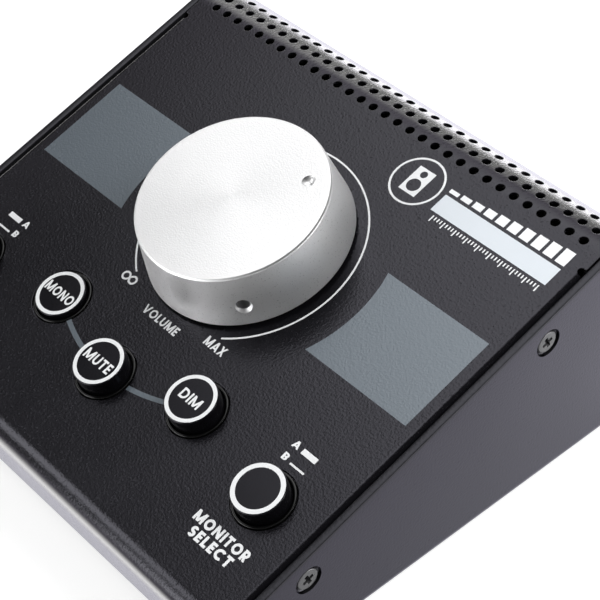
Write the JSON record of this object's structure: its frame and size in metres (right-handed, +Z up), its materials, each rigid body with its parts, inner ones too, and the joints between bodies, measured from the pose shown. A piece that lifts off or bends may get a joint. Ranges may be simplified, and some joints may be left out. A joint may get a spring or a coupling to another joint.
{
  "type": "studio monitor controller",
  "caption": "Wedge-shaped steel desktop audio controller with a large aluminium volume knob, latching push buttons, a perforated rear bend and a row of rear jack sockets.",
  "frame": {"origin": "on the table under the middle of the object's box, feet at Z = 0", "axes": "+X to the user's right along the width, +Y to the back where the sockets are, +Z up"},
  "size_m": [0.135, 0.1254, 0.0639],
  "materials": {
    "cover_paint": "fine-textured black powder coat",
    "tray_paint": "smooth satin charcoal paint",
    "black_screw": "black zinc plate",
    "zinc_steel": "bright zinc plate",
    "nickel_brass": "dull nickel plate",
    "knob_aluminium": "turned, bead-blasted and clear anodised",
    "foot_rubber": "matte",
    "cap_plastic": "satin moulded black with a printed white ring",
    "collar_plastic": "polished black",
    "switch_plastic": "moulded",
    "jack_plastic": "moulded",
    "jack_nut_metal": "nickel plate",
    "tinned_pins": "tinned",
    "board_laminate": "green solder mask",
    "pot_phenolic": "phenolic",
    "resistor_lacquer": "lacquer",
    "header_plastic": "natural nylon",
    "ribbon_vinyl": "vinyl"
  },
  "bodies": {
    "case": {"top_cover": "cover_paint", "base_tray": "tray_paint", "cover_screws": "black_screw", "clinch_nuts": "zinc_steel", "rubber_feet": "foot_rubber", "foot_screws": "zinc_steel", "foot_nuts": "zinc_steel", "pot_bushing": "nickel_brass", "pot_gangs": "pot_phenolic", "pot_tie_rods": "zinc_steel", "pot_terminals": "tinned_pins", "pot_nut": "nickel_brass", "pot_washer": "nickel_brass", "button_collars": "collar_plastic", "switch_bodies": "switch_plastic", "switch_terminals": "tinned_pins", "control_board": "board_laminate", "board_standoffs": "zinc_steel", "board_screws": "zinc_steel", "pad_resistors": "resistor_lacquer", "jack_bodies": "jack_plastic", "jack_nuts": "jack_nut_metal", "jack_washers": "jack_nut_metal", "jack_terminals": "tinned_pins", "jack_board": "board_laminate", "jack_posts": "zinc_steel", "jack_board_screws": "zinc_steel", "board_headers": "header_plastic", "ribbon_cable": "ribbon_vinyl"},
    "volume": {"volume_knob": "knob_aluminium", "knob_set_screw": "black_screw", "volume_shaft": "nickel_brass"},
    "mono_button": {"mono_cap": "cap_plastic", "mono_plunger": "switch_plastic"},
    "mute_button": {"mute_cap": "cap_plastic", "mute_plunger": "switch_plastic"},
    "dim_button": {"dim_cap": "cap_plastic", "dim_plunger": "switch_plastic"},
    "source_button": {"source_cap": "cap_plastic", "source_plunger": "switch_plastic"},
    "monitor_button": {"monitor_cap": "cap_plastic", "monitor_plunger": "switch_plastic"}
  },
  "joints": [
    {"name": "volume_turn", "type": "hinge", "parent": "case", "child": "volume", "pos_m": [0, 0.00311, 0.04336], "axis": [0, 0.2924, -0.9563], "range_deg": [-188, 105]},
    {"name": "mono_press", "type": "slide", "parent": "case", "child": "mono_button", "axis": [0, 0.2924, -0.9563], "range_m": [-0.0027, 0.0005]},
    {"name": "mute_press", "type": "slide", "parent": "case", "child": "mute_button", "axis": [0, 0.2924, -0.9563], "range_m": [0, 0.0032], "stiffness_N_per_m": 400, "springref_m": -0.002},
    {"name": "dim_press", "type": "slide", "parent": "case", "child": "dim_button", "axis": [0, 0.2924, -0.9563], "range_m": [0, 0.0032], "stiffness_N_per_m": 400, "springref_m": -0.002},
    {"name": "source_press", "type": "slide", "parent": "case", "child": "source_button", "axis": [0, 0.2924, -0.9563], "range_m": [0, 0.0032], "stiffness_N_per_m": 400, "springref_m": -0.002},
    {"name": "monitor_press", "type": "slide", "parent": "case", "child": "monitor_button", "axis": [0, 0.2924, -0.9563], "range_m": [0, 0.0032], "stiffness_N_per_m": 400, "springref_m": -0.002}
  ]
}
